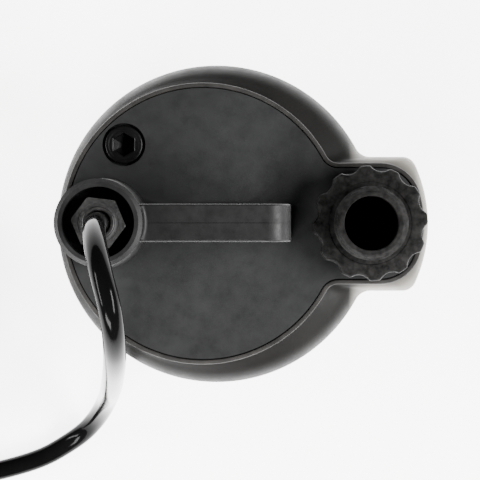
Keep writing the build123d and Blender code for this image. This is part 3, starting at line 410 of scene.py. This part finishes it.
def hexagon(flats, turn):
    """The radius of a regular hexagon at an angle: half its width over flats, divided by the cosine of
    the angle from the middle of the nearest flat."""
    def radius(angle):
        off = (angle - turn + math.pi / 6) % (math.pi / 3) - math.pi / 6
        return flats / 2 / np.cos(off)
    return radius


# Outline of the pump in plan, level by level: the leftmost point, over +Y, to the middle of the right end
ARC_POINTS, BLEND_POINTS, SIDE_POINTS, CORNER_POINTS, END_POINTS = 84, 10, 10, 10, 16
# Each plan: shift from the shaft, radius, half width, end, corner, bulge, blend; SHOULDER has its level first
COVER = (0.0, 49.8, 20.3, 79.3, 13.0, 6.0, 7.0)
SHELL = (5.0, 59.4, 25.1, 83.9, 5.0, 6.2, 6.0)
SHOULDER = [
    (118.0, *SHELL),
    (124.0, 4.9, 59.1, 25.0, 83.8, 5.2, 6.2, 6.0),
    (128.5, 4.5, 57.9, 24.7, 83.6, 6.0, 6.2, 6.0),
    (131.5, 3.6, 56.0, 24.2, 83.2, 7.5, 6.2, 6.0),
    (133.5, 2.0, 53.6, 23.5, 82.4, 10.0, 6.2, 5.6),
    (135.0, 0.2, 51.8, 22.5, 81.5, 13.0, 6.1, 5.2),
]


def grown(plan, level, by):
    """An outline pushed out all round: its radii, width and end grow and its inside corners tighten."""
    shift, radius, half, end, corner, bulge, blend = plan
    return level, shift, radius + by, half + by, end + by, corner + by, bulge, blend - by


def arcs(centre_x, centre_y, radius, start, stop, count):
    """Equal steps along one arc for every level, its start included and its end left to the next arc."""
    angle = start[:, None] + (stop - start)[:, None] * np.arange(count) / count
    return np.stack([centre_x[:, None] + radius[:, None] * np.cos(angle),
                     centre_y[:, None] + radius[:, None] * np.sin(angle)], axis=-1)


def plan_rows(table):
    """A circle joined to a block: the big arc, a hollow blend tangent to it and to the block's straight
    side, the side, a rounded corner, and a bowed end. The other half is its mirror image."""
    level, shift, radius, half, end, corner, bulge, blend = np.array(table).T
    centre = SHAFT_X / MM + shift
    zero = np.zeros_like(level)
    reach = np.sqrt((radius + blend) ** 2 - (half + blend) ** 2)
    meet = np.arctan2(half + blend, reach)
    bow = (half**2 + bulge**2) / (2 * bulge)
    bow_x = SHAFT_X / MM + end - bow
    corner_x = bow_x + np.sqrt((bow - corner) ** 2 - (half - corner) ** 2)
    turn = np.arctan2(half - corner, corner_x - bow_x)
    side = np.arange(SIDE_POINTS) / SIDE_POINTS
    side_x = (centre + reach)[:, None] + (corner_x - centre - reach)[:, None] * side
    upper = np.concatenate([
        arcs(centre, zero, radius, zero + math.pi, meet, ARC_POINTS),
        arcs(centre + reach, half + blend, blend, meet + math.pi, zero + 1.5 * math.pi, BLEND_POINTS),
        np.stack([side_x, np.repeat(half[:, None], SIDE_POINTS, axis=1)], axis=-1),
        arcs(corner_x, half - corner, corner, zero + math.pi / 2, turn, CORNER_POINTS),
        arcs(bow_x, zero, bow, turn, zero, END_POINTS),
    ], axis=1)
    tip = np.stack([bow_x + bow, zero], axis=-1)[:, None]
    lower = upper[:, :0:-1] * (1, -1)
    outline = np.concatenate([upper, tip, lower], axis=1)
    height = np.repeat(level[:, None, None], outline.shape[1], axis=1)
    return np.concatenate([outline, height], axis=-1)


def eased(table, steps):
    """Rows between the given ones on a smooth curve through them (Catmull-Rom)."""
    rows = np.array(table)
    padded = np.concatenate([2 * rows[:1] - rows[1:2], rows, 2 * rows[-1:] - rows[-2:-1]])
    t = (np.arange((len(rows) - 1) * steps + 1) / steps)[:, None]
    k = np.minimum(t.astype(int), len(rows) - 2)
    t = t - k
    a, b, c, d = (padded[k[:, 0] + n] for n in range(4))
    return 0.5 * (2 * b + (c - a) * t + (2 * a - 5 * b + 4 * c - d) * t**2 + (3 * b - a - 3 * c + d) * t**3)


def motor_shell():
    """The housing's skin in one closed section: split line, wall, shoulder, rim, gap and inner wall."""
    table = [grown(SHELL, 46.0, -0.5), grown(SHELL, 46.15, -0.15), grown(SHELL, 46.5, 0.0)]
    table += [grown(SHELL, level, 0.0) for level in (60.0, 80.0, 100.0)]
    table += list(eased(SHOULDER, 5))
    table += [grown(COVER, level, by) for level, by in (
        (135.6, 2.02), (141.7, 2.0), (142.05, 1.9), (142.25, 1.7), (142.3, 1.4), (142.3, 0.9),
        (142.2, 0.55), (141.9, 0.35), (141.5, 0.3), (137.2, 0.3), (137.0, -1.0), (136.9, -3.0), (46.2, -3.0))]
    return surface("motor_shell", plan_rows(table), "housing_plastic", closed=True,
                   nodes_replaced=["motor_housing"])


NUT_FLATS = 17.0
NUT_TURN = math.radians(23)
SOCKET_FLATS = 7.5


def gland_hex_nut():
    """A hexagon cut at its top by a shallow cone, with a raised ring round the cord's hole."""
    top = NUT_TOP / MM
    hexed = hexagon(NUT_FLATS, NUT_TURN)

    def cut(down):
        return lambda angle: np.minimum(hexed(angle), 9.5 + 1.7 * down)
    rows = [(8.0, top - 15.0), (8.0, top - 11.1), (cut(11.0), top - 11.0)]
    rows += [(cut(down), top - down) for down in (6.0, 1.2, 0.9, 0.65, 0.45, 0.3, 0.2, 0.1, 0.04, 0.0)]
    rows += [(7.2, top), (7.05, top - 0.1), (6.2, top - 0.1), (6.0, top), (5.75, top), (5.6, top + 0.3),
             (5.45, top + 0.4), (4.75, top + 0.4), (4.55, top + 0.3), (4.3, top - 0.1), (4.25, top - 4.0),
             (4.25, top - 15.0)]
    return turned("gland_hex_nut", rows, "nut_plastic", (GLAND_X, 0), columns=180, closed=True, sharp=28,
                  nodes_replaced=["gland_nut"])


def filler_plug():
    """A round head with a hexagon socket: circles outside, then hexagons down the socket."""
    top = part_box("oil_plug")[1].z / MM
    socket = hexagon(SOCKET_FLATS, 0.0)
    rows = [(5.0, top - 14.5), (5.0, top - 2.6), (6.7, top - 2.5), (7.0, top - 2.2), (7.0, top - 0.6),
            (6.9, top - 0.3), (6.7, top - 0.1), (6.4, top), (5.6, top), (5.5, top - 0.06), (5.2, top - 0.06),
            (lambda angle: socket(angle) + 0.45, top), (lambda angle: socket(angle) + 0.1, top - 0.2),
            (socket, top - 0.5), (socket, top - 4.2), (lambda angle: 0.6 * socket(angle), top - 4.6),
            (0.3, top - 5.2)]
    return turned("filler_plug", rows, "plug_plastic", (OIL_X, OIL_Y), columns=144, sharp=35,
                  nodes_replaced=["oil_plug"])


def handle_root():
    """The hollow fillet where the handle's top runs into the tower: at each angle about the tower's axis
    the radius is 17.3 less 1.6 times the cosine, and the level is 1.6 times the sine down from its top."""
    about = np.radians(np.linspace(-21, 21, 25))[:, None]
    curl = np.linspace(0, math.pi / 2, 9)
    radius = np.concatenate([17.3 - 1.6 * np.cos(curl), (17.3, 15.0, 15.0)])
    level = np.concatenate([185.6 - 1.6 * np.sin(curl), (183.3, 183.3, 185.6)])
    grid = np.stack([GLAND_X / MM + radius * np.cos(about), radius * np.sin(about),
                     level + 0 * about], axis=-1)
    return surface("handle_root", grid, "cover_plastic")


def lobed_adapter():
    """The hose adapter: a collar whose radius dips at twelve scallops, a neck, and a ring with a screw
    thread, where the radius falls by the thread's depth as level less a share of the turn goes up."""
    pitch, crest, depth = 2.209, 13.45, 0.95
    reach, scallop = 21.0 + 5.0 - 1.8, 5.0

    def lobes(inset):
        def radius(angle):
            off = (angle - math.radians(20) + math.pi / 12) % (math.pi / 6) - math.pi / 12
            inside = scallop**2 - (reach * np.sin(off)) ** 2
            dip = np.where(inside > 0, reach * np.cos(off) - np.sqrt(np.maximum(inside, 0)), 40.0)
            soft = -0.22 * np.log(np.exp(-dip / 0.22) + np.exp(-21.0 / 0.22))
            return np.minimum(soft, 21.0) - inset
        return radius

    def thread(level, cap):
        def radius(angle):
            phase = (level / pitch - angle / (2 * math.pi)) % 1.0
            groove = np.clip(1.5 - 3.0 * np.abs(phase - 0.5), 0, 1)
            return np.minimum(crest - depth * groove, cap)
        return radius
    bottom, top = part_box("hose_adapter")[0].z / MM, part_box("hose_adapter")[1].z / MM
    rows = [(16.55, bottom), (16.55, 146.9), (lobes(0.6), 147.0), (lobes(0.15), 147.2), (lobes(0.0), 147.6),
            (lobes(0.0), 153.9), (lobes(0.12), 154.4), (lobes(0.45), 154.8), (lobes(1.0), 155.0)]
    rows += [(15.2, 155.0), (14.9, 154.8), (14.0, 154.8), (13.0, 154.85), (12.5, 155.2), (12.45, 156.9)]
    rows += [(thread(level, min(crest, 12.5 + (level - 157.0) * 2, 11.4 + (top - level) * 1.15)), level)
             for level in np.linspace(157.0, top - 0.05, 52)]
    rows += [(11.2, top), (10.1, top), (9.85, top - 0.2), (9.8, top - 0.6), (9.8, top - 12.0), (9.8, bottom)]
    return turned("lobed_adapter", rows, "adapter_plastic", (OUTLET_X, 0), columns=360, closed=True,
                  body="adapter", nodes_replaced=["hose_adapter"])


def plug_frame(stations):
    """Sections set out along the plug's own axis, turned into the pump's frame: x and y turn by the
    plug's angle about the upright axis, and the start goes to the end of the lead."""
    x, y, z = np.moveaxis(stations, -1, 0)
    start_x, start_y = TAIL[-1][0] / MM, TAIL[-1][1] / MM
    turned_x = start_x + x * math.cos(PLUG_TURN) - y * math.sin(PLUG_TURN)
    turned_y = start_y + x * math.sin(PLUG_TURN) + y * math.cos(PLUG_TURN)
    return np.stack([turned_x, turned_y, z + PLUG_MIDDLE], axis=-1)


def lengthwise(name, sections, corner, nodes_replaced):
    """Rows of superellipses across the plug's axis: y is the half width times a power 2 / corner of the
    angle's cosine, z is the half height times the same power of its sine, each with its sign kept."""
    angle = np.linspace(0, 2 * math.pi, PLUG_COLUMNS, endpoint=False)
    across = np.sign(np.cos(angle)) * np.abs(np.cos(angle)) ** (2 / corner)
    upward = np.sign(np.sin(angle)) * np.abs(np.sin(angle)) ** (2 / corner)
    station, wide, high = np.array(sections).T
    grid = np.stack([np.repeat(station[:, None], PLUG_COLUMNS, axis=1), wide[:, None] * across,
                     high[:, None] * upward], axis=-1)
    return surface(name, plug_frame(grid), "plug_pvc", nodes_replaced=nodes_replaced)


def ribbed_relief():
    """A cone from the lead to the plug, cut by four grooves that leave ribs with rounded edges."""
    sections = [(0.0, 4.15, 4.15), (0.1, 4.6, 4.6), (0.5, 4.95, 4.95)]
    for start in (4.0, 8.2, 12.4, 16.6):
        edge = 4.9 + 2.3 * start / 22
        sections += [(start - 0.3, edge, edge), (start, edge - 0.2, edge - 0.2), (start + 0.1, 4.65, 4.65),
                     (start + 1.2, 4.65, 4.65), (start + 1.3, edge - 0.1, edge - 0.1),
                     (start + 1.6, edge + 0.15, edge + 0.15)]
    sections += [(21.95, 7.2, 7.2)]
    return lengthwise("ribbed_relief", sections, 2.0, ["plug_strain_relief"])


def moulded_plug():
    """The plug's body: it swells from the strain relief, with grip ridges round its middle, and a face
    with rounded edges. Each ridge lifts the outline by the sine of its place along the grip, squared."""
    sections = [(22.0, 6.8, 6.8), (22.3, 7.3, 7.3), (24.0, 8.0, 8.2), (27.0, 9.6, 10.2), (29.5, 10.9, 11.8),
                (31.5, 11.5, 12.5), (33.0, 11.6, 12.6)]
    for station in np.linspace(33.5, 46.0, 51):
        lift = 0.45 * math.sin(math.pi * (station - 33.5) / 2.5) ** 2
        swell = 0.6 * (station - 33.0) / 22
        sections.append((station, 11.6 + swell + lift, 12.6 + swell + lift))
    sections += [(47.0, 12.1, 13.1), (53.6, 12.7, 13.3), (54.4, 12.5, 13.1), (54.85, 12.0, 12.6),
                 (55.0, 11.3, 11.9)]
    return lengthwise("moulded_plug", sections, 3.6, ["plug_body"])


PLUG_COLUMNS = 96
STRAP_CORNER = 0.35


def coil_strap():
    """A hook-and-loop strap round the coiled lead: a thin rounded section swept once round a loop that is
    nearly flat above, below and beside the coil."""
    low, high, inner, outer = 0.5, 25.1, 28.3, 55.0
    half_y, half_z = (outer - inner) / 2, (high - low) / 2
    turn = np.linspace(0, 2 * math.pi, 160, endpoint=False)
    out_y = np.sign(np.cos(turn)) * np.abs(np.cos(turn)) ** STRAP_CORNER
    out_z = np.sign(np.sin(turn)) * np.abs(np.sin(turn)) ** STRAP_CORNER
    path = np.stack([half_y * out_y, half_z * out_z], axis=-1)
    ahead = np.roll(path, -1, axis=0) - np.roll(path, 1, axis=0)
    across = np.stack([ahead[:, 1], -ahead[:, 0]], axis=-1) / np.linalg.norm(ahead, axis=1)[:, None]
    section = [(-6.0, -0.2), (-6.0, 0.2), (-5.7, 0.42), (-2.0, 0.45), (2.0, 0.45), (5.7, 0.42), (6.0, 0.2),
               (6.0, -0.2), (5.7, -0.42), (-5.7, -0.42)]
    rows = []
    for side, lift in section:
        place = path + lift * across
        rows.append(np.stack([np.full(len(turn), COIL_X / MM + side),
                              COIL_Y / MM + (outer + inner) / 2 + place[:, 0],
                              (low + high) / 2 + place[:, 1]], axis=-1))
    return surface("coil_strap", np.array(rows), "tie_fabric", closed=True, nodes_replaced=["coil_tie"])


motor_shell()
gland_hex_nut()
filler_plug()
handle_root()
lobed_adapter()
coil_strap()
ribbed_relief()
moulded_plug()

bpy.context.view_layer.update()
